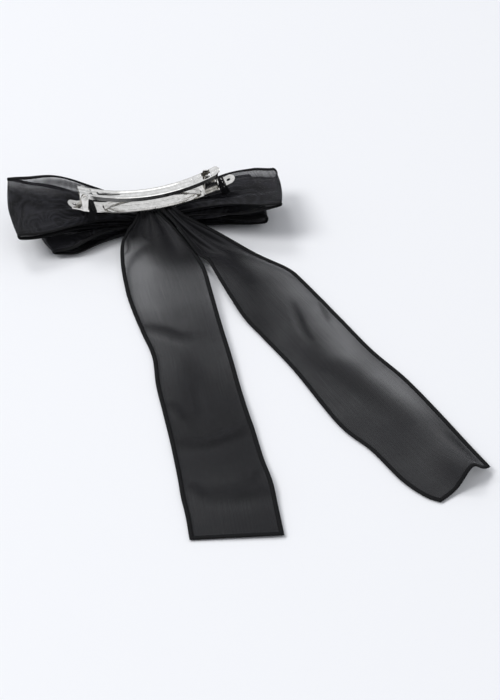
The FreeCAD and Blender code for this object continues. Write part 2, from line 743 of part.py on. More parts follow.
def tail_place(body, name):
    turn = FreeCAD.Rotation(value(f"{name}_turn") - 90, 0, 0)
    start = FreeCAD.Vector(value(f"{name}_start"), value("wrap_centre - wrap_wide / 2 + tail_flat - tail_setback"), 0)
    body.Placement = FreeCAD.Placement(start, turn)


def tail(name, height):
    web = new_body(name)
    side = new_sketch(web, "XZ_Plane")
    tail_side(side, name, height, "0")
    through(web, "Pad", side, "3 * ribbon_width")
    keep_inside(web, tail_plan(name, "hem_width", f"{name}_length - hem_width"))
    tail_place(web, name)
    hem = new_body(name + "_hem")
    side = new_sketch(hem, "XZ_Plane")
    tail_side(side, name, height, "hem_proud")
    through(hem, "Pad", side, "3 * ribbon_width")
    keep_inside(hem, tail_plan(name, "0", f"{name}_length + 1"))
    cut_inside(hem, tail_plan(name, "hem_width", f"{name}_length - hem_width"))
    tail_place(hem, name)
    return [web, hem]


def build():
    parts = [base_plate(), hinge_pin(), clasp_arm(), tension_spring(), catch_plate(), catch_rivet()]
    parts.append(catch_prong("catch_prong_near", -1))
    parts.append(catch_prong("catch_prong_far", 1))
    parts.append(lashing("hinge_end_lashing", "hinge_lash_place", "hinge_lash_length", "hinge_lash_drop"))
    parts.append(lashing("catch_end_lashing", "catch_lash_place", "catch_lash_length", "catch_lash_drop"))
    parts += [centre_stitch(), centre_wrap(), gathering_thread()]
    for name in ("back_left", "back_right"):
        parts += bow_loop(name, "back_belly", BACK_ROOT_AT, "back_flare")
    for name in ("front_left", "front_right"):
        parts += bow_loop(name, "front_belly", FRONT_ROOT_AT, "front_flare")
    parts += tail("left_tail", LEFT_TAIL_AT)
    parts += tail("right_tail", RIGHT_TAIL_AT)
    return parts


def check(parts):
    """Stop if any object of the document failed or any part has no valid shape."""
    failed = [item.Name for item in doc.Objects if {"Invalid", "Error"} & set(item.State)]
    if failed:
        raise RuntimeError(f"failed objects: {failed}")
    for part in parts:
        if part.Shape.isNull() or not part.Shape.isValid():
            raise RuntimeError(f"{part.Label} has no valid shape")


parts = build()
doc.recompute()
check(parts)
os.makedirs("parts", exist_ok=True)
for part in parts:
    part.Shape.exportStep(f"parts/{part.Label}.step")
    limits = part.Shape.optimalBoundingBox(False)
    print(f"{part.Label:24s} solids {len(part.Shape.Solids)}  volume {part.Shape.Volume:9.2f}  "
          f"x {limits.XMin:7.2f} {limits.XMax:7.2f}  y {limits.YMin:8.2f} {limits.YMax:7.2f}  "
          f"z {limits.ZMin:6.2f} {limits.ZMax:6.2f}")
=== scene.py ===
"""Ribbon hair bow of black organza on a nickel-plated French barrette, lying face down.

Metres in the file, millimetres in the tables of sizes. X runs along the barrette from its hinge
to its catch, the tails run towards -Y, and the table is at Z = 0.
"""
import math

import bpy
import numpy as np
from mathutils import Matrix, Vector


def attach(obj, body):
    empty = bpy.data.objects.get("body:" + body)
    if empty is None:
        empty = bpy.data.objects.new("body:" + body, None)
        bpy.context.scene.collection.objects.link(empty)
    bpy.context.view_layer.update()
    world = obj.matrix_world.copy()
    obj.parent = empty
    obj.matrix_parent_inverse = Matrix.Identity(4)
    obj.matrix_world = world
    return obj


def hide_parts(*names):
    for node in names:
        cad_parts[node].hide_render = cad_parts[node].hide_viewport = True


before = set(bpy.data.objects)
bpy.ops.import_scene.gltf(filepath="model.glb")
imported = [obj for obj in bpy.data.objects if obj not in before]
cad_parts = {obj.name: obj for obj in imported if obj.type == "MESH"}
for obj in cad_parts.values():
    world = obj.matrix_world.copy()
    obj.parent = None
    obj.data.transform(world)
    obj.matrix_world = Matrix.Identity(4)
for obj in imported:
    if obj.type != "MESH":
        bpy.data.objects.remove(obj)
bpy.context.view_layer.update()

MM = 0.001

RIBBON_WIDTH = 36.0      # cut width of the organza ribbon
CLOTH_THICK = 0.14       # organza is about a seventh of a millimetre thick
HEM_WIDTH = 1.9          # overlocked hem, lying flat
HEM_THICK = 1.1
HEM_TWIST = dict(ridge=0.07, pitch=1.1)      # how the overlock stitches swell the hem, and how far apart
KNOT_Y = 2.5             # middle of the knot, along Y
ROOT_HALF = 5.0          # half the width of a loop where it is gathered at the knot

bpy.ops.object.select_all(action="DESELECT")


# ---------------------------------------------------------------- materials

def colour(text):
    """A colour written as sRGB hex, turned to linear."""
    parts = [int(text[i:i + 2], 16) / 255 for i in (1, 3, 5)]
    linear = [p / 12.92 if p <= 0.04045 else ((p + 0.055) / 1.055) ** 2.4 for p in parts]
    return (*linear, 1.0)


def node(material, kind, settings=None, **links):
    """Add a node. Settings are its properties, or its sockets' values by name or number.

    Links feed its sockets: a socket's name with _ for each space, or _ and its number.
    """
    tree = material.node_tree
    made = tree.nodes.new(kind)
    for key, amount in (settings or {}).items():
        if isinstance(key, str) and hasattr(made, key) and key not in made.inputs:
            setattr(made, key, amount)
        else:
            made.inputs[key].default_value = amount
    for key, source in links.items():
        socket = int(key[1:]) if key[1:].isdigit() else key.replace("_", " ")
        tree.links.new(source, made.inputs[socket])
    return made


def new_material(name, **settings):
    """A material whose principled shader has these constants."""
    material = bpy.data.materials.new(name)
    material.use_nodes = True
    shader = material.node_tree.nodes["Principled BSDF"]
    for key, amount in settings.items():
        shader.inputs[key.replace("_", " ")].default_value = amount
    return material, shader


def feed(material, shader, **links):
    for key, source in links.items():
        material.node_tree.links.new(source, shader.inputs[key.replace("_", " ")])


def ramp(material, source, stops):
    """A colour ramp from (place, hex colour) pairs."""
    made = node(material, "ShaderNodeValToRGB", None, Fac=source)
    elements = made.color_ramp.elements
    while len(elements) < len(stops):
        elements.new(0.5)
    for element, (place, text) in zip(elements, stops):
        element.position = place
        element.color = colour(text)
    return made


BAND_GAP = 0.3142        # gap between a wave texture's bands at a scale of 1


def organza(name, base, light, cover, watering):
    """Black polyester organza: stiff sheer plain weave. The eye sees the table through it, darker where its
    yarns crowd in folds, with painted shade along one side of its creases and painted light along the other,
    with slubs along the yarns and, on doubled cloth, the watery rings where the yarns of two layers cross."""
    material, shader = new_material(name, Roughness=0.6, Sheen_Weight=0.06, Sheen_Roughness=0.5)
    shader.inputs["Sheen Tint"].default_value = colour("#9a9aa2")
    shader.inputs["Specular IOR Level"].default_value = 0.16
    uv = node(material, "ShaderNodeUVMap", {"uv_map": "cloth"})
    place = node(material, "ShaderNodeTexCoord")
    # real yarns lie 0.25 mm apart; they are drawn 0.6 mm apart so that they show. The bands of a wave
    # texture lie BAND_GAP / scale apart.
    yarns = {"Scale": 0.5236, "Distortion": 0.6, "Detail": 1.0, "Detail Scale": 0.4}
    warp = node(material, "ShaderNodeTexWave", {"bands_direction": "X", **yarns}, Vector=uv.outputs["UV"])
    weft = node(material, "ShaderNodeTexWave", {"bands_direction": "Y", **yarns}, Vector=uv.outputs["UV"])
    weave = node(material, "ShaderNodeMath", {"operation": "MULTIPLY"},
                 _0=warp.outputs["Fac"], _1=weft.outputs["Fac"])
    # thicker yarns here and there, drawn out along the ribbon
    stretch = node(material, "ShaderNodeMapping", {"Scale": (0.05, 1.4, 1.0)}, Vector=uv.outputs["UV"])
    slub = node(material, "ShaderNodeTexNoise", {"Scale": 1.0, "Detail": 3.0},
                Vector=stretch.outputs["Vector"])
    # slow changes of density from handling, 15 to 30 mm across
    cloud = node(material, "ShaderNodeTexNoise", {"Scale": 52.0, "Detail": 2.0, "Roughness": 0.45},
                 Vector=place.outputs["Object"])
    # rings of watering about 2 mm apart: the contours of a slow shift between two weaves out of step
    shift = node(material, "ShaderNodeTexNoise", {"Scale": 0.05, "Detail": 1.0}, Vector=uv.outputs["UV"])
    turns = node(material, "ShaderNodeMath", {"operation": "MULTIPLY", 1: 95.0}, _0=shift.outputs["Fac"])
    rings = node(material, "ShaderNodeMath", {"operation": "SINE"}, _0=turns.outputs[0])
    # cover from crowded yarns, together with the painted shade and painted light of the tails' creases
    crowd_and_shade = node(material, "ShaderNodeAttribute", {"attribute_name": "crowd_and_shade"})
    # each source with its weight and its mean, so that the mean cover stays as given
    sources = [(weave.outputs[0], 0.10, 0.25), (slub.outputs["Fac"], 0.10, 0.5),
               (cloud.outputs["Fac"], 0.16, 0.5), (rings.outputs[0], 0.3 * watering, 0.0),
               (crowd_and_shade.outputs["Fac"], 0.3, 0.0)]
    level = None
    for source, weight, mean in sources:
        start = cover if level is None else 0.0
        part = node(material, "ShaderNodeMath",
                    {"operation": "MULTIPLY_ADD", 1: weight, 2: start - weight * mean}, _0=source).outputs[0]
        level = part if level is None else node(
            material, "ShaderNodeMath", {"operation": "ADD"}, _0=level, _1=part).outputs[0]
    level = node(material, "ShaderNodeClamp", {"Min": 0.35, "Max": 0.985}, Value=level).outputs[0]
    shade = node(material, "ShaderNodeMath", {"operation": "MULTIPLY"},
                 _0=slub.outputs["Fac"], _1=cloud.outputs["Fac"])
    watered = node(material, "ShaderNodeMath", {"operation": "MULTIPLY_ADD", 1: watering},
                   _0=rings.outputs[0], _2=shade.outputs[0])
    tint = ramp(material, watered.outputs[0], [(0.1, base), (0.5, light)])
    bump = node(material, "ShaderNodeBump", {"Strength": 0.25, "Distance": 0.00012}, Height=weave.outputs[0])
    feed(material, shader, Base_Color=tint.outputs["Color"], Alpha=level, Normal=bump.outputs["Normal"])
    return material


def thread_material(name, dark, light, pitch, lean):
    """Black spun polyester thread, dull and nearly without shine, with a twist that shows along each turn."""
    material, shader = new_material(name, Roughness=0.7)
    shader.inputs["Specular IOR Level"].default_value = 0.12
    uv = node(material, "ShaderNodeUVMap", {"uv_map": "cloth"})
    turn = node(material, "ShaderNodeMapping", {"Rotation": (0.0, 0.0, lean)}, Vector=uv.outputs["UV"])
    twist = node(material, "ShaderNodeTexWave", {"bands_direction": "X", "Scale": BAND_GAP / pitch,
                 "Distortion": 0.8, "Detail": 2.0, "Detail Scale": 0.8}, Vector=turn.outputs["Vector"])
    place = node(material, "ShaderNodeTexCoord")
    fuzz = node(material, "ShaderNodeTexNoise", {"Scale": 1400.0, "Detail": 3.0},
                Vector=place.outputs["Object"])
    both = node(material, "ShaderNodeMath", {"operation": "MULTIPLY"},
                _0=twist.outputs["Fac"], _1=fuzz.outputs["Fac"])
    tint = ramp(material, both.outputs[0], [(0.05, dark), (0.6, light)])
    rough = node(material, "ShaderNodeMapRange", {"To Min": 0.6, "To Max": 0.8}, Value=fuzz.outputs["Fac"])
    bump = node(material, "ShaderNodeBump", {"Strength": 0.6, "Distance": 0.00015}, Height=both.outputs[0])
    feed(material, shader, Base_Color=tint.outputs["Color"], Roughness=rough.outputs[0],
         Normal=bump.outputs["Normal"])
    return material


def nickel(name, base, worn, rough_low, rough_high, grain):
    """Bright nickel plate on pressed spring steel: mirror-like, faintly warm, with fine rubbing
    scratches along the strip, a trace of waviness from the press tool and duller spots of handling."""
    material, shader = new_material(name, Metallic=1.0)
    place = node(material, "ShaderNodeTexCoord")
    # scratches 17 mm long and a third of a millimetre apart, along the strip
    along = node(material, "ShaderNodeMapping", {"Scale": (60.0, 3200.0, 1800.0)},
                 Vector=place.outputs["Object"])
    scratch = node(material, "ShaderNodeTexNoise", {"Scale": 1.0, "Detail": 4.0, "Roughness": 0.65},
                   Vector=along.outputs["Vector"])
    spots = node(material, "ShaderNodeTexNoise", {"Scale": 420.0, "Detail": 4.0, "Roughness": 0.6},
                 Vector=place.outputs["Object"])
    wave = node(material, "ShaderNodeTexNoise", {"Scale": 150.0, "Detail": 1.0},
                Vector=place.outputs["Object"])
    tint = ramp(material, spots.outputs["Fac"], [(0.3, worn), (0.62, base)])
    rough = node(material, "ShaderNodeMapRange", {"From Min": 0.3, "From Max": 0.72, "To Min": rough_low,
                 "To Max": rough_high}, Value=scratch.outputs["Fac"])
    fine = node(material, "ShaderNodeBump", {"Strength": grain, "Distance": 0.00001},
                Height=scratch.outputs["Fac"])
    bump = node(material, "ShaderNodeBump", {"Strength": 0.12, "Distance": 0.0002},
                Height=wave.outputs["Fac"], Normal=fine.outputs["Normal"])
    feed(material, shader, Base_Color=tint.outputs["Color"], Roughness=rough.outputs[0],
         Normal=bump.outputs["Normal"])
    return material


TAIL_CLOTH = organza("black_polyester_organza_single", "#101012", "#212124", 0.49, 0.0)
LOOP_CLOTH = organza("black_polyester_organza_doubled", "#08080a", "#2c2c31", 0.68, 0.1)
WRAP_CLOTH = organza("black_polyester_organza_gathered", "#0a0a0c", "#19191c", 0.86, 0.0)
HEM_THREAD = thread_material("black_overlock_thread", "#060607", "#141416", 0.9, 0.5)
SEWING_THREAD = thread_material("black_polyester_sewing_thread", "#050506", "#1a1a1d", 0.45, 0.7)
BASE_NICKEL = nickel("nickel_plated_pressed_steel_base", "#e9e7e3", "#d0cec9", 0.05, 0.18, 0.3)
ARM_NICKEL = nickel("nickel_plated_rolled_steel_arm", "#ecebe8", "#d8d6d2", 0.04, 0.15, 0.25)
SPRING_NICKEL = nickel("nickel_plated_spring_steel", "#dddbd7", "#bdbbb6", 0.07, 0.22, 0.3)
SMALL_NICKEL = nickel("nickel_plated_small_fittings", "#e0deda", "#b9b7b2", 0.08, 0.25, 0.35)


# ---------------------------------------------------------------- shaping helpers

BEND_ANGLES = np.linspace(0.0, 1.9, 80)
BEND_RATIOS = np.array([np.mean(np.cos(a * np.sin(np.linspace(0, 2 * np.pi, 200)))) for a in BEND_ANGLES])


def curve_through(points, count):
    """Evenly spaced points on a smooth curve through the given ones."""
    points = np.array(points, float)
    padded = np.vstack([2 * points[0] - points[1], points, 2 * points[-1] - points[-2]])
    fine = []
    for a, b, c, d in zip(padded, padded[1:], padded[2:], padded[3:]):
        for t in np.linspace(0, 1, 24, endpoint=False):
            fine.append(0.5 * (2 * b + (c - a) * t + (2 * a - 5 * b + 4 * c - d) * t ** 2
                               + (3 * b - a - 3 * c + d) * t ** 3))
    fine = np.array(fine + [points[-1]])
    run = np.concatenate([[0], np.cumsum(np.linalg.norm(np.diff(fine, axis=0), axis=1))])
    wanted = np.linspace(0, run[-1], count)
    return np.column_stack([np.interp(wanted, run, fine[:, k]) for k in range(fine.shape[1])])


def pleat_profile(ratio, waves, phase, uneven, count):
    """Across a gathered ribbon: where each point lies (0 to 1) and how high (in ribbon widths).

    The ribbon keeps its width along its own folds, so a narrow gather gets deep folds.
    """
    bend = np.interp(-min(ratio, 1.0), -BEND_RATIOS, BEND_ANGLES)
    s = np.linspace(0, 1, count)
    warped = s + uneven * np.sin(2 * np.pi * s + phase) / (2 * np.pi)
    heading = bend * np.sin(2 * np.pi * waves * warped + phase)
    step = 1.0 / (count - 1)
    across = np.concatenate([[0], np.cumsum(0.5 * (np.cos(heading[1:]) + np.cos(heading[:-1])) * step)])
    up = np.concatenate([[0], np.cumsum(0.5 * (np.sin(heading[1:]) + np.sin(heading[:-1])) * step)])
    up = up - up.mean() - (s - 0.5) * (up[-1] - up[0])
    return across / across[-1], up


def smoothstep(low, high, x):
    t = np.clip((np.asarray(x, float) - low) / (high - low), 0, 1)
    return t * t * (3 - 2 * t)


def grid_normals(grid):
    along = np.gradient(grid, axis=0)
    across = np.gradient(grid, axis=1)
    normals = np.cross(along, across)
    length = np.linalg.norm(normals, axis=2, keepdims=True)
    return normals / np.maximum(length, 1e-9)


def link(mesh, name, material):
    piece = bpy.data.objects.new(name, mesh)
    bpy.context.collection.objects.link(piece)
    mesh.materials.append(material)
    for polygon in mesh.polygons:
        polygon.use_smooth = True
    return piece


def cloth(name, grid, material, length, crowd_and_shade=0.0, flip=False, closed=False):
    """A sheet of cloth from a grid of points in millimetres, rows along the ribbon, columns across it.

    Steep places are seen through more yarns; crowd_and_shade, the given crowding of yarns with the painted
    shade and painted light of creases, adds to that, or takes from it where it is below 0.
    """
    rows, cols = grid.shape[:2]
    points = [tuple(p * MM) for p in grid.reshape(-1, 3)]
    faces, corners = [], []
    for i in range(rows if closed else rows - 1):
        for j in range(cols - 1):
            quad = [(i, j), (i + 1, j), (i + 1, j + 1), (i, j + 1)]
            if flip:
                quad.reverse()
            faces.append([(a % rows) * cols + b for a, b in quad])
            corners.extend(quad)
    mesh = bpy.data.meshes.new(name)
    mesh.from_pydata(points, [], faces)
    layer = mesh.uv_layers.new(name="cloth")
    for number, (i, j) in enumerate(corners):
        layer.data[number].uv = (i / (rows - 1) * length, j / (cols - 1) * RIBBON_WIDTH)
    normals = grid_normals(grid)
    # more cover where the cloth is steep, plus the given crowding and painted shade
    dense = smoothstep(0.0, 0.5, 1.0 - np.abs(normals[:, :, 2])) + crowd_and_shade
    attribute = mesh.attributes.new("crowd_and_shade", "FLOAT", "POINT")
    attribute.data.foreach_set("value", dense.reshape(-1).astype(np.float32))
    piece = link(mesh, name, material)
    thick = piece.modifiers.new("thickness", "SOLIDIFY")
    thick.thickness = CLOTH_THICK * MM
    thick.offset = 0.0
    bpy.ops.object.select_all(action="DESELECT")
    bpy.context.view_layer.objects.active = piece
    piece.select_set(True)
    bpy.ops.object.modifier_apply(modifier=thick.name)
    piece.select_set(False)
    return piece


def band(name, path, ups, wide, high, material, ridge, pitch, sides=10):
    """A soft flattened cord along a path in millimetres, rounded off at its ends.

    ups are the directions of its thin side. It swells by ridge once in each pitch, round and round.
    """
    path = np.asarray(path, float)
    count = len(path)
    ahead = np.gradient(path, axis=0)
    ahead /= np.linalg.norm(ahead, axis=1, keepdims=True)
    ups = np.asarray(ups, float)
    ups = ups - ahead * np.sum(ups * ahead, axis=1, keepdims=True)
    ups /= np.maximum(np.linalg.norm(ups, axis=1, keepdims=True), 1e-9)
    side = np.cross(ahead, ups)
    run = np.concatenate([[0], np.cumsum(np.linalg.norm(np.diff(path, axis=0), axis=1))])
    points, faces, corners = [], [], []
    for i in range(count):
        near_end = min(run[i], run[-1] - run[i]) / wide
        taper = math.sqrt(max(0.04, 1 - max(0.0, 1 - 2 * near_end) ** 2))
        for k in range(sides):
            angle = 2 * math.pi * k / sides
            swell = 1.0 + ridge * math.sin(2 * math.pi * run[i] / pitch + angle)
            points.append(tuple((path[i] + side[i] * math.cos(angle) * wide / 2 * swell * taper
                                 + ups[i] * math.sin(angle) * high / 2 * swell * taper) * MM))
    for i in range(count - 1):
        for k in range(sides):
            quad = [(i, k), (i, k + 1), (i + 1, k + 1), (i + 1, k)]
            faces.append([a * sides + b % sides for a, b in quad])
            corners.extend(quad)
    # a flat face over each end, both turned outwards
    for i, around in ((0, range(sides - 1, -1, -1)), (count - 1, range(sides))):
        faces.append([i * sides + k for k in around])
        corners.extend((i, k) for k in around)
    girth = math.pi * (wide + high) / 2
    mesh = bpy.data.meshes.new(name)
    mesh.from_pydata(points, [], faces)
    layer = mesh.uv_layers.new(name="cloth")
    for number, (i, k) in enumerate(corners):
        layer.data[number].uv = (run[i], k / sides * girth)
    return link(mesh, name, material)


def joined(name, pieces):
    """Several meshes made one piece."""
    bpy.ops.object.select_all(action="DESELECT")
    for piece in pieces:
        piece.select_set(True)
    bpy.context.view_layer.objects.active = pieces[0]
    bpy.ops.object.join()
    pieces[0].name = name
    pieces[0].data.name = name
    pieces[0].select_set(False)
    return pieces[0]


# ---------------------------------------------------------------- tails

CREASE_STEPS = 50        # points along a crease


def crease(grid, crowd_and_shade, route, high, wide, dark, shaded=(0.0, 1.0)):
    """Press a crease into a lying tail along a route of (x, y): a low ridge, with painted shade on its shaded
    side, drawn as denser cover, and a little painted light beyond its other side.

    shaded is the direction, across the crease, in which that side lies.
    """
    path = curve_through(route, CREASE_STEPS)
    gap = grid[:, :, None, :2] - path[None, None]
    far = np.linalg.norm(gap, axis=3)
    nearest = far.argmin(axis=2)
    distance = far.min(axis=2)
    ahead = np.gradient(path, axis=0)
    ahead /= np.linalg.norm(ahead, axis=1, keepdims=True)
    aside = np.column_stack([-ahead[:, 1], ahead[:, 0]])
    aside *= np.where(aside @ np.array(shaded) < 0, -1.0, 1.0)[:, None]
    gap = np.take_along_axis(gap, nearest[:, :, None, None], axis=2)[:, :, 0]
    offset = np.sum(gap * aside[nearest], axis=2)
    # it dies away at both ends of the route and three widths to each side
    fade = np.sqrt(np.sin(np.pi * (nearest + 0.5) / CREASE_STEPS)) * np.exp(-(distance / (3 * wide)) ** 4)
    grid[:, :, 2] += high * fade * np.exp(-(distance / wide) ** 2)
    # painted shade along the shaded side of the ridge, and painted light along its other side
    crowd_and_shade += dark * fade * np.exp(-((offset - 0.7 * wide) / wide) ** 2)
    crowd_and_shade -= 0.35 * dark * fade * np.exp(-((offset + 1.2 * wide) / wide) ** 2)


def patch(grid, crowd_and_shade, x, y, wide, long, amount):
    """A soft darker or lighter place on a tail."""
    crowd_and_shade += amount * np.exp(-((grid[:, :, 0] - x) / wide) ** 2 - ((grid[:, :, 1] - y) / long) ** 2)


def tail_grid(left, right, length, waves, phase, uneven, pressed_flat, rows, cols):
    """A tail between its two edges, with folds where it is gathered.

    The folds open out below the knot and are pressed flat by the given place along the tail.
    """
    left = curve_through(left, rows)
    right = curve_through(right, rows)
    middle = (left + right) / 2
    ahead = np.gradient(middle, axis=0)
    grid = np.zeros((rows, cols, 3))
    for i in range(rows):
        chord = right[i] - left[i]
        width = np.linalg.norm(chord)
        up = np.cross(ahead[i], -chord)
        up /= np.linalg.norm(up)
        if up[2] < 0:
            up = -up
        along = i / (rows - 1) * length
        across, high = pleat_profile(width / RIBBON_WIDTH, waves, phase, uneven, cols)
        soft = 0.2 + 0.3 * smoothstep(4, 26, along)
        soft = soft * (1 - smoothstep(0.5 * pressed_flat, pressed_flat, along))
        even = np.linspace(0, 1, cols)
        across = even + (across - even) * soft / 0.5
        grid[i] = left[i] + across[:, None] * chord + (high * RIBBON_WIDTH * soft)[:, None] * up
    return grid


def tail_hem(name, grid, ridge_rows):
    """The overlocked hem down one edge of a tail, across its end and up the other edge."""
    normals = grid_normals(grid)
    rows, cols = grid.shape[:2]
    inset = HEM_WIDTH / 2
    route, ups = [], []
    for i in range(0, rows - 1):
        inward = grid[i, 1] - grid[i, 0]
        route.append(grid[i, 0] + inward / np.linalg.norm(inward) * inset)
        ups.append(normals[i, 0])
    for j in range(1, cols - 1):
        inward = grid[rows - 2, j] - grid[rows - 1, j]
        route.append(grid[rows - 1, j] + inward / np.linalg.norm(inward) * inset)
        ups.append(normals[rows - 1, j])
    for i in range(rows - 2, -1, -1):
        inward = grid[i, -2] - grid[i, -1]
        route.append(grid[i, -1] + inward / np.linalg.norm(inward) * inset)
        ups.append(normals[i, -1])
    route = curve_through(np.hstack([np.array(route), np.array(ups)])[::2], ridge_rows)
    return band(name, route[:, :3], route[:, 3:], HEM_WIDTH, HEM_THICK, HEM_THREAD, **HEM_TWIST)


LEFT_TAIL = 205.0        # lengths of the tails from the knot, laid straight
RIGHT_TAIL = 215.0
TAIL_ROWS = 240
TAIL_COLS = 73
TAIL_HEM_ROWS = 1400
TABLE_GAP = 0.75         # the tails' sheets stay this far above the table, which leaves room for the hems
left_grid = tail_grid(
    [(-7.0, 1.2, 13.2), (-9.0, -4.5, 12.7), (-14.3, -9.0, 9.5), (-18.6, -14, 6.2), (-21.3, -25, 3.0),
     (-22.9, -40, 1.6), (-23.4, -52, 1.0), (-22.9, -72, 0.9), (-22.1, -91, 1.3), (-24.8, -110, 1.2),
     (-26.0, -127, 0.9), (-27.4, -146, 1.1), (-29.4, -167, 0.9), (-30.9, -179, 1.0), (-31.8, -191, 0.9),
     (-33.4, -204, 0.8)],
    [(1.6, 1.2, 13.4), (2.4, -4.5, 13.2), (7.0, -12, 11.0), (11.4, -22, 7.6), (14.3, -32, 5.4),
     (15.0, -43, 5.6), (13.9, -59, 5.0), (12.5, -81, 3.6), (11.3, -102, 3.0), (9.8, -122, 2.4),
     (8.7, -139, 2.8), (8.4, -150, 2.2), (7.3, -168, 2.2), (7.0, -182, 2.6), (5.5, -195, 2.0),
     (3.4, -212, 1.4)],
    LEFT_TAIL, 2.5, 0.8, 0.5, 46, TAIL_ROWS, TAIL_COLS)
right_grid = tail_grid(
    [(1.6, 1.8, 14.6), (3.0, -4.5, 14.3), (6.0, -12, 12.0), (9.6, -22, 8.0), (13.6, -31, 4.8),
     (17.6, -38, 4.6), (20.9, -61, 3.2), (23.8, -77, 1.6), (28.4, -92, 1.0), (35.4, -117, 1.0),
     (43.4, -155, 1.0), (51.8, -174, 1.0), (58.0, -194, 1.0), (64.0, -205, 0.9), (69.6, -210.4, 0.9)],
    [(8.6, 1.8, 14.8), (10.4, -4.5, 14.0), (15.0, -9, 10.5), (23.5, -15, 6.2), (32.7, -23, 3.6),
     (45.0, -37, 2.4), (53.0, -47, 2.2), (57.0, -56, 1.8), (65.4, -88, 2.2), (72.4, -113, 1.8),
     (80.4, -135, 2.0), (86.9, -159, 1.8), (92.2, -184, 2.4), (95.4, -198.4, 2.8)],
    RIGHT_TAIL, 2, 2.4, 0.6, 52, TAIL_ROWS, TAIL_COLS)

along = np.linspace(0, 1, TAIL_ROWS)[:, None]
across = np.linspace(-1, 1, TAIL_COLS)[None, :]
# how dense each tail looks down its length: gathered at the knot, open below it, denser again towards its end
left_crowd_and_shade = np.interp(along * LEFT_TAIL, [0, 14, 26, 38, 62, 82, 105, 128, 150, 170, 186, 205],
                       [1.4, 1.1, 0.3, -0.12, -0.05, 0.25, 0.3, 0.68, 0.76, 0.58, 0.5, 0.58]) + 0.14 * across
right_crowd_and_shade = (np.interp(along * RIGHT_TAIL, [0, 18, 34, 50, 90, 120, 150, 185, 215],
                         [1.5, 1.3, 0.85, 0.45, 0.28, 0.28, 0.32, 0.34, 0.36])
               - 0.62 * smoothstep(-0.2, 0.8, across) * smoothstep(30, 60, along * RIGHT_TAIL)
               * (1 - 0.7 * smoothstep(150, 195, along * RIGHT_TAIL))
               + 1.2 * smoothstep(0.74, 0.84, across) * (1 - smoothstep(36, 62, along * RIGHT_TAIL)))
# the end of the right tail arches off the table between its two corners
arch = smoothstep(RIGHT_TAIL - 42, RIGHT_TAIL, along * RIGHT_TAIL) ** 1.5
right_grid[:, :, 2] += 7.5 * arch * np.exp(-((across - 0.25) / 0.42) ** 2)

# creases of the left tail: route, height, width and how dark the shaded side is
for route, high, wide, dark in (
        ([(-22, -70), (-18, -73), (-14, -76), (-8, -82), (-2, -84)], 1.0, 2.6, 0.75),
        ([(-24, -124), (-21, -127), (-19, -135)], 0.8, 2.2, 0.45),
        ([(-10, -110), (-12, -123), (-14, -137)], 0.8, 2.6, 0.4),
        ([(8, -147), (4, -148), (-3, -150), (-14, -152), (-26, -150)], 1.1, 3.2, 0.6),
        ([(-28, -174), (-25, -178), (-22, -183)], 0.9, 2.6, 0.5),
        ([(5, -172), (0, -176), (-4, -180)], 0.8, 2.6, 0.35),
        ([(5, -188), (-2, -186), (-8, -186), (-22, -183)], 1.2, 4.0, 0.55)):
    crease(left_grid, left_crowd_and_shade, route, high, wide, dark)
# the hem of the layer below shows through as a short inner line by the left edge
crease(left_grid, left_crowd_and_shade, [(-13.0, -5.5), (-14.6, -13.0), (-16.0, -19.0), (-19.0, -21.0)], 0.5, 0.7, 0.9)
patch(left_grid, left_crowd_and_shade, -8.0, -106.0, 5.0, 12.0, 0.35)
patch(left_grid, left_crowd_and_shade, -16.0, -45.0, 6.0, 18.0, -0.15)
patch(left_grid, left_crowd_and_shade, 6.0, -24.0, 8.0, 8.0, 0.8)
patch(left_grid, left_crowd_and_shade, -13.0, -22.0, 6.0, 11.0, -0.75)

# creases of the right tail, with the side that is shaded
for route, high, wide, dark, shaded in (
        ([(21.7, -30), (25.6, -41), (29.4, -49), (30.0, -56)], 1.2, 4.2, 0.75, (1.0, 0.3)),
        ([(47.0, -71), (47.2, -80), (47.0, -91), (48.0, -101)], 0.9, 1.7, 0.6, (1.0, 0.0)),
        ([(48.0, -101), (50.7, -112), (57.8, -120), (64.2, -135), (72.5, -151), (76.5, -165)], 1.4, 5.0, 0.45,
         (-1.0, -0.3)),
        ([(60.6, -74), (60.6, -82), (60.7, -90)], 0.5, 1.3, 0.55, (-1.0, 0.0)),
        ([(84.0, -171), (85.4, -179), (87.0, -188), (88.0, -196)], 0.7, 2.0, 0.5, (1.0, 0.0))):
    crease(right_grid, right_crowd_and_shade, route, high, wide, dark, shaded)
patch(right_grid, right_crowd_and_shade, 29.0, -80.0, 6.0, 14.0, 0.35)
patch(right_grid, right_crowd_and_shade, 24.0, -24.0, 7.0, 12.0, 0.6)
patch(right_grid, right_crowd_and_shade, 60.0, -103.0, 6.0, 18.0, -0.15)

for side, grid, length, crowd_and_shade in (("left", left_grid, LEFT_TAIL, left_crowd_and_shade),
                                  ("right", right_grid, RIGHT_TAIL, right_crowd_and_shade)):
    grid[:, :, 2] = np.maximum(grid[:, :, 2], TABLE_GAP)
    piece = cloth(f"{side}_tail_cloth", grid, TAIL_CLOTH, length, crowd_and_shade, flip=True)
    hem = tail_hem(f"{side}_tail_overlocked_hem", grid, TAIL_HEM_ROWS)
    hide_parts(f"{side}_tail")
    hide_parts(f"{side}_tail_hem")
    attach(piece, "bow")
    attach(hem, "bow")


# ---------------------------------------------------------------- loops

def turned(yaw, rise, roll):
    """The turn of a loop: about its own length, then raised, then about the upright."""
    a, b, c = (math.radians(v) for v in (yaw, rise, roll))
    z = np.array([[math.cos(a), -math.sin(a), 0], [math.sin(a), math.cos(a), 0], [0, 0, 1]])
    y = np.array([[math.cos(b), 0, -math.sin(b)], [0, 1, 0], [math.sin(b), 0, math.cos(b)]])
    x = np.array([[1, 0, 0], [0, math.cos(c), -math.sin(c)], [0, math.sin(c), math.cos(c)]])
    return z @ y @ x


def widening(x, reach, power):
    """From 0 at the knot to 1 where a loop is as wide as its ribbon."""
    return math.sin(math.pi / 2 * min(1.0, x / reach)) ** power


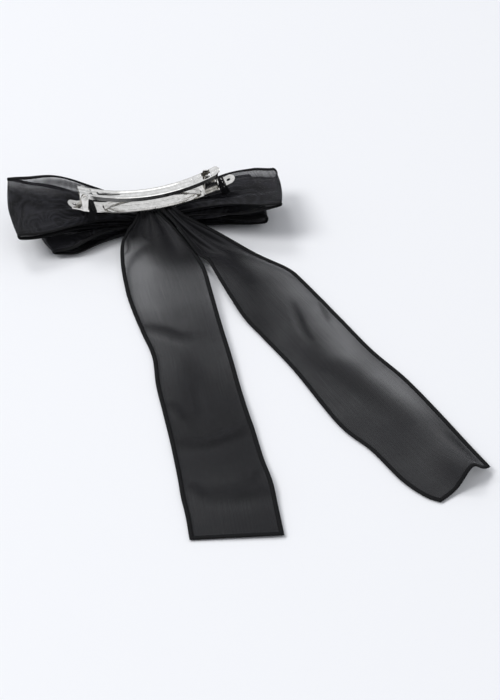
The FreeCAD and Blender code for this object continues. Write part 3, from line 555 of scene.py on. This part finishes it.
def loop_grid(reach, near_side, belly, far_lift, end_lift, gape, recede, near_flare, far_flare, waves, phase,
              uneven, rows, cols, seed):
    """One loop in its own axes: out along the upper layer, round the end fold and back underneath.

    near_side says which edge, +1 or -1, is the one by the tails. belly is how far the layers stand apart
    midway. far_lift and end_lift raise the far edge, gape opens it, and recede draws the near corner of
    the end back. Each flare is the distance at which that edge has widened to the full ribbon, and how
    late it does so.
    """
    start, tip = 1.0, 1.35      # where the loop leaves the knot, and the radius of its end fold
    bend = reach - tip
    arc = math.pi * tip
    layer = math.hypot(bend - start, belly)
    total = 2 * layer + arc
    soft = np.random.default_rng(seed).normal(size=6)
    span = np.linspace(-1, 1, cols)
    far = smoothstep(0.1, 1.0, -near_side * span)
    grid = np.zeros((rows, cols, 3))
    for i in range(rows):
        run = i / (rows - 1) * total
        if run < layer:
            x, side = start + (bend - start) * run / layer, 1.0
        elif run > layer + arc:
            x, side = bend - (bend - start) * (run - layer - arc) / layer, -1.0
        else:
            x, side = bend, math.cos((run - layer) / tip)
        q = (x - start) / (bend - start)
        near_half = ROOT_HALF + (RIBBON_WIDTH / 2 - ROOT_HALF) * widening(x, *near_flare)
        far_half = ROOT_HALF + (RIBBON_WIDTH / 2 - ROOT_HALF) * widening(x, *far_flare)
        low, high_side = (far_half, near_half) if near_side > 0 else (near_half, far_half)
        rise = 1.0 + (tip - 1.0) * q + (belly - 1.2) * math.sin(math.pi * q) ** 0.8
        out = x + (math.sin((run - layer) / tip) * tip if layer <= run <= layer + arc else 0.0)
        across, high = pleat_profile((low + high_side) / RIBBON_WIDTH, waves, phase + 0.9 * (1 - side) * q,
                                     uneven, cols)
        y = -low + across * (low + high_side)
        fold = 0.42 + 0.4 * smoothstep(6, 22, x) - 0.3 * smoothstep(36, 60, x)
        z = side * rise + high * RIBBON_WIDTH * fold
        z = z + far * smoothstep(0.4, 0.8, q) * (far_lift + (end_lift - far_lift) * smoothstep(0.84, 1.0, q))
        z = z + gape * far * math.sin(math.pi * q) * max(side, 0.0)
        for k in range(3):
            ripple = np.sin((k + 1.3) * 2.1 * span + soft[k + 3] * 3 + x * (0.06 + 0.05 * k))
            z = z + 0.35 * q * soft[k] * ripple * side
        grid[i] = np.column_stack([np.full(cols, out), y, z])
    # the end fold bows out in its middle and its near corner draws back
    at_end = smoothstep(0.5, 1.0, grid[:, :, 0] / reach)
    drawn_back = 0.8 * np.cos(span * 1.6) - recede * ((1 + near_side * span) / 2) ** 2.2
    grid[:, :, 0] += at_end * drawn_back[None, :]
    return grid, total


# Lengths in millimetres and turns in degrees, as loop_grid and turned take them. open_edge is how much
# sheerer the far edge is than the rest, within the two places across that edge gives.
LOOPS = {
    "back_left": dict(
        reach=67.6, yaw=172.8, rise=8.4, roll=-9.0, root_z=7.9, belly=2.4, far_lift=2.6, end_lift=3.6,
        gape=2.4, recede=4.0, near_flare=(68.0, 3.0), far_flare=(50.0, 2.3), waves=4, phase=0.4, uneven=0.5,
        seed=3, open_edge=1.05, edge=(-0.82, -0.42)),
    "back_right": dict(
        reach=62.4, yaw=-8.0, rise=9.4, roll=-10.5, root_z=7.9, belly=2.2, far_lift=1.6, end_lift=0.0,
        gape=1.4, recede=1.6, near_flare=(60.0, 2.4), far_flare=(46.0, 1.8), waves=5, phase=1.9, uneven=0.4,
        seed=8, open_edge=0.5, edge=(-0.86, -0.5)),
    "front_left": dict(
        reach=54.6, yaw=172.6, rise=0.6, roll=0.0, root_z=3.25, belly=2.0, far_lift=0.4, end_lift=0.2,
        gape=0.4, recede=7.0, near_flare=(44.0, 2.6), far_flare=(46.0, 2.0), waves=4, phase=2.6, uneven=0.4,
        seed=5, open_edge=0.8, edge=(-0.92, -0.62)),
    "front_right": dict(
        reach=55.5, yaw=3.2, rise=2.5, roll=0.0, root_z=3.25, belly=2.0, far_lift=0.4, end_lift=0.2,
        gape=0.4, recede=3.5, near_flare=(54.0, 2.5), far_flare=(48.0, 2.0), waves=5, phase=4.0, uneven=0.5,
        seed=11, open_edge=0.6, edge=(-0.92, -0.62)),
}
LOOP_ROWS, LOOP_COLS = 190, 65
LOOP_HEM_ROWS = 420
for name, shape in LOOPS.items():
    yaw, rise, roll, root_z = (shape.pop(key) for key in ("yaw", "rise", "roll", "root_z"))
    open_edge, edge = shape.pop("open_edge"), shape.pop("edge")
    near_side = 1 if yaw > 90 else -1
    local, total = loop_grid(near_side=near_side, rows=LOOP_ROWS, cols=LOOP_COLS, **shape)
    grid = local @ turned(yaw, rise, roll).T + np.array([0.0, KNOT_Y, root_z])
    grid[:, :, 2] = np.maximum(grid[:, :, 2], 0.8)
    span = near_side * np.linspace(-1, 1, LOOP_COLS)[None, :]
    out = np.clip(local[:, :, 0] / shape["reach"], 0, 1)
    # close at the knot, open along the far edge
    far_edge = (1 - smoothstep(*edge, span)) * smoothstep(0.25, 0.5, out)
    crowd_and_shade = (0.12 + 1.2 * (1 - smoothstep(0.2, 0.75, out))) * (1 - far_edge) - open_edge * far_edge
    piece = cloth(f"{name}_loop_cloth", grid, LOOP_CLOTH, total, crowd_and_shade)
    normals = grid_normals(grid)
    hems = []
    for edge, inner in ((0, 1), (-1, -2)):
        inward = grid[:, inner] - grid[:, edge]
        inward /= np.linalg.norm(inward, axis=1, keepdims=True)
        route = np.hstack([grid[:, edge] + inward * HEM_WIDTH / 2, normals[:, edge]])
        route = curve_through(route[::2], LOOP_HEM_ROWS)
        hems.append(band(f"{name}_hem_{edge}", route[:, :3], route[:, 3:], HEM_WIDTH, HEM_THICK * 0.8,
                         HEM_THREAD, **HEM_TWIST))
    hem = joined(f"{name}_loop_overlocked_hem", hems)
    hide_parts(f"{name}_loop")
    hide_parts(f"{name}_loop_hem")
    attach(piece, "bow")
    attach(hem, "bow")


# ---------------------------------------------------------------- knot

def rounded_ring(wide, high, corner, count, low):
    """Evenly spaced points round a rounded rectangle in the YZ plane about the knot.

    It gives the points, the directions outwards at them, and the length round.
    """
    points, outs = [], []
    for cy, cz, first in ((1, 1, 0), (-1, 1, 90), (-1, -1, 180), (1, -1, 270)):
        for angle in np.linspace(first, first + 90, 12):
            a = math.radians(angle)
            points.append((KNOT_Y + cy * (wide / 2 - corner) + math.cos(a) * corner,
                           low + high / 2 + cz * (high / 2 - corner) + math.sin(a) * corner,
                           math.cos(a), math.sin(a)))
    points.append(points[0])
    points = np.array(points)
    run = np.concatenate([[0], np.cumsum(np.linalg.norm(np.diff(points[:, :2], axis=0), axis=1))])
    wanted = np.linspace(0, run[-1], count, endpoint=False)
    ring = np.column_stack([np.interp(wanted, run, points[:, k]) for k in range(4)])
    return ring[:, :2], ring[:, 2:], run[-1]


WRAP_FLAT = 20.0         # width of the wrap's ribbon before it is gathered
WRAP_WIDE = 12.0         # width that it is gathered to
WRAP_COLS = 49
ring, outs, girth = rounded_ring(17.5, 11.4, 2.6, 150, 0.5)
grid = np.zeros((len(ring), WRAP_COLS, 3))
for i, (spot, out) in enumerate(zip(ring, outs)):
    around = 2 * math.pi * i / len(ring)
    across, high = pleat_profile(WRAP_WIDE / WRAP_FLAT, 5, 0.7 + 0.35 * math.sin(around), 0.35, WRAP_COLS)
    lift = high * WRAP_FLAT * 0.55
    grid[i, :, 0] = (across - 0.5) * WRAP_WIDE
    grid[i, :, 1] = spot[0] + out[0] * lift
    grid[i, :, 2] = spot[1] + out[1] * lift
grid[:, :, 2] = np.maximum(grid[:, :, 2], 0.1)
wrap = cloth("knot_wrap_cloth", grid, WRAP_CLOTH, girth, closed=True)
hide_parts("centre_wrap")
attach(wrap, "bow")

KNOT_WIDE, KNOT_HIGH = 18.5, 12.4        # outer size of the knot
WRAP_LAYER = 1.45                        # the gathering thread lies this far inside it, under the wrap
thread = []
turns, per_turn = 3, 90
ring, outs, _ = rounded_ring(KNOT_WIDE - 2 * WRAP_LAYER, KNOT_HIGH - 2 * WRAP_LAYER, 1.55, per_turn,
                             WRAP_LAYER)
for k in range(turns * per_turn):
    spot, out = ring[k % per_turn], outs[k % per_turn]
    thread.append(((k / (turns * per_turn) - 0.5) * 1.9, spot[0], spot[1], 0.0, out[0], out[1]))
thread = np.array(thread)
gather = band("gathering_windings", thread[:, :3], thread[:, 3:], 0.5, 0.5, SEWING_THREAD,
              sides=8, ridge=0.08, pitch=0.6)
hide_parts("gathering_thread")
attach(gather, "bow")


# ---------------------------------------------------------------- sewing on the barrette

PLATE_UNDER = 15.5       # height of the base's underside at its middle
PLATE_RADIUS = 101.0     # of the bend along its length
PLATE_THICK = 0.6
PLATE_WIDTH = 8.0
THREAD = 0.46            # thickness of the sewing thread, doubled
THREAD_GAP = 0.42        # from the metal to the middle of the thread round it


def base_frame(place):
    """Point on the underside of the curved base at a place along X, with the directions along and up."""
    lean = math.asin(place / PLATE_RADIUS)
    centre = np.array([0, 0, PLATE_UNDER + PLATE_RADIUS])
    up = np.array([-math.sin(lean), 0, math.cos(lean)])
    return centre - up * PLATE_RADIUS, np.array([math.cos(lean), 0, math.sin(lean)]), up


def windings(name, place, turns, pitch, drop, fan, seed):
    """Thread wound round the base and down to the ribbon, each turn beside the last and slightly askew.

    drop is how far down it reaches from the base's underside, and fan how much it spreads there.
    """
    origin, along, up = base_frame(place)
    rng = np.random.default_rng(seed)
    wide, low, high = PLATE_WIDTH / 2 + THREAD_GAP, -drop + 0.3, PLATE_THICK + THREAD_GAP
    corner = 0.6
    path, ups = [], []
    for k in range(turns):
        offset = (k - (turns - 1) / 2) * pitch
        askew = rng.normal(0, 0.12)
        layer = 0.12 * rng.random()
        outline = []
        for cy, cz, first in ((1, 1, 0), (-1, 1, 90), (-1, -1, 180), (1, -1, 270)):
            for angle in np.linspace(first, first + 90, 7):
                a = math.radians(angle)
                y = cy * (wide + layer - corner) + math.cos(a) * corner
                z = (high + layer - corner if cz > 0 else low + corner) + math.sin(a) * corner
                outline.append((y, z, math.cos(a), math.sin(a)))
        for number, (y, z, oy, oz) in enumerate(outline):
            share = number / len(outline)
            spread = 1.0 + fan * (0.5 - z / (2 * drop))
            x = offset * spread + pitch * share + askew * math.sin(2 * math.pi * share)
            path.append(origin + along * x + np.array([0, y, 0]) + up * z)
            ups.append(np.array([0, oy, 0]) + up * oz)
    route = curve_through(np.hstack([np.array(path), np.array(ups)]), turns * 110)
    return band(name, route[:, :3], route[:, 3:], THREAD, THREAD, SEWING_THREAD,
                sides=8, ridge=0.1, pitch=0.55)


def lump(name, centre, size, seed):
    """A small pulled-tight knot of thread: a few crossing turns about a point."""
    rng = np.random.default_rng(seed)
    path = []
    for t in np.linspace(0, 1, 260):
        a, b = 2 * math.pi * 5 * t, 2 * math.pi * 3.3 * t + rng.normal(0, 0.004)
        ball = np.array([math.cos(a) * math.cos(b), math.sin(a), math.cos(a) * math.sin(b)])
        path.append(centre + ball * size)
    path = np.array(path)
    return band(name, path, path - centre + 1e-6, 0.42, 0.42, SEWING_THREAD, sides=8, ridge=0.1, pitch=0.55)


hinge_lash = windings("hinge_end_windings", place=-29.4, turns=8, pitch=0.42, drop=4.6, fan=0.0, seed=2)
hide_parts("hinge_end_lashing")
catch_parts = [windings("catch_lash_turns", place=33.7, turns=7, pitch=0.47, drop=3.0, fan=0.15, seed=4)]
origin, along, up = base_frame(33.4)
for number, (ahead, side, size) in enumerate(((-0.5, -2.6, 0.8), (0.3, -0.6, 1.05), (-0.2, 1.5, 0.9))):
    catch_parts.append(lump(f"catch_lash_knot_{number}", origin + along * ahead + up * (PLATE_THICK + 1.1)
                            + np.array([0, side, 0]), np.array([1.1, 1.2, 0.8]) * size, 20 + number))
catch_lash = joined("catch_end_windings", catch_parts)
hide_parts("catch_end_lashing")
TUFT = np.array([-0.2, -4.75, 16.0])     # the knot of the centre stitch, at the near edge of the base
TUFT_STEPS = 40
tuft_parts = [lump("tuft_knot", TUFT, np.array([0.55, 0.5, 0.5]), 31)]
for number, end in enumerate(((1.6, -0.9, 0.9), (-1.3, -1.1, 0.6), (0.5, -0.5, 1.9))):
    route = [TUFT, TUFT + np.array(end) * (0.5, 0.7, 0.35), TUFT + end]
    tuft_parts.append(band(f"tuft_end_{number}", curve_through(route, TUFT_STEPS),
                           np.tile([0.3, 0.2, 1.0], (TUFT_STEPS, 1)), 0.32, 0.32, SEWING_THREAD,
                           sides=6, ridge=0.1, pitch=0.5))
tuft = joined("centre_stitch_tuft", tuft_parts)
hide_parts("centre_stitch")
for piece in (hinge_lash, catch_lash, tuft):
    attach(piece, "bow")


# ---------------------------------------------------------------- barrette metal

METALS = {
    "base_plate": BASE_NICKEL, "clasp_arm": ARM_NICKEL, "tension_spring": SPRING_NICKEL,
    "hinge_pin": SMALL_NICKEL, "catch_plate": SMALL_NICKEL, "catch_rivet": SMALL_NICKEL,
    "catch_prong_near": SMALL_NICKEL, "catch_prong_far": SMALL_NICKEL,
}
for name, material in METALS.items():
    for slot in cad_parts[name].material_slots:
        slot.material = material


# ---------------------------------------------------------------- table, light and camera

ROOM_LIGHT = 0.5
table_material, table_shader = new_material("white_paper_backdrop", Roughness=0.9)
table_shader.inputs["Base Color"].default_value = colour("#eeeff2")
table_shader.inputs["Specular IOR Level"].default_value = 0.1
bpy.ops.mesh.primitive_plane_add(size=30.0, location=(0, 0, -0.0001))
table = bpy.context.object
table.name = "table"
table.data.materials.append(table_material)

world = bpy.data.worlds.new("studio")
bpy.context.scene.world = world
world.use_nodes = True
# the room is white to the camera, lights the bow at a plain level, and in the metal it is white overhead
# and greyer towards the horizon, as walls round a lit table are
ray = node(world, "ShaderNodeLightPath")
around = node(world, "ShaderNodeTexCoord")
direction = node(world, "ShaderNodeSeparateXYZ", None, Vector=around.outputs["Generated"])
walls = node(world, "ShaderNodeMapRange", {"From Min": 0.05, "From Max": 0.75, "To Min": 0.5, "To Max": 1.0},
             Value=direction.outputs["Z"])
strength = node(world, "ShaderNodeMath", {"operation": "MULTIPLY_ADD", 1: 1.0 - ROOM_LIGHT, 2: ROOM_LIGHT},
                _0=ray.outputs["Is Camera Ray"])
mirrored = node(world, "ShaderNodeMath", {"operation": "MAXIMUM"},
                _0=ray.outputs["Is Glossy Ray"], _1=ray.outputs["Is Transmission Ray"])
mixed = node(world, "ShaderNodeMix", {"data_type": "FLOAT"},
             _0=mirrored.outputs[0], _2=strength.outputs[0], _3=walls.outputs[0])
background = world.node_tree.nodes["Background"]
background.inputs["Color"].default_value = colour("#f6f8fc")
world.node_tree.links.new(mixed.outputs[0], background.inputs["Strength"])


def area_light(name, place, aim, size, power):
    light = bpy.data.lights.new(name, "AREA")
    light.shape = "DISK"
    light.size = size
    light.energy = power
    holder = bpy.data.objects.new(name, light)
    bpy.context.collection.objects.link(holder)
    holder.location = place
    holder.rotation_euler = (Vector(aim) - Vector(place)).to_track_quat("-Z", "Y").to_euler()


MIDDLE = (0.02, -0.1, 0.0)       # middle of the bow and its tails
area_light("key", (-2.3, 0.0, 2.9), MIDDLE, 1.7, 68.0)
area_light("back", (-0.7, 2.0, 3.2), MIDDLE, 1.5, 34.0)
area_light("fill", (0.9, -2.7, 3.9), MIDDLE, 2.7, 16.0)

camera_data = bpy.data.cameras.new("camera")
camera_data.sensor_width = 36.0
camera_data.lens = 101.6
camera_data.clip_start = 0.01
camera_data.clip_end = 60.0
camera = bpy.data.objects.new("camera", camera_data)
bpy.context.collection.objects.link(camera)
turn, rise, distance = math.radians(-15.4), math.radians(40.0), 0.8726
target = Vector((0.02098, -0.09669, 0.0))
back = Vector((math.sin(turn) * math.cos(rise), -math.cos(turn) * math.cos(rise), math.sin(rise)))
camera.location = target + back * distance
camera.rotation_euler = (-back).to_track_quat("-Z", "Y").to_euler()
bpy.context.scene.camera = camera
bpy.context.scene.view_settings.view_transform = "Standard"
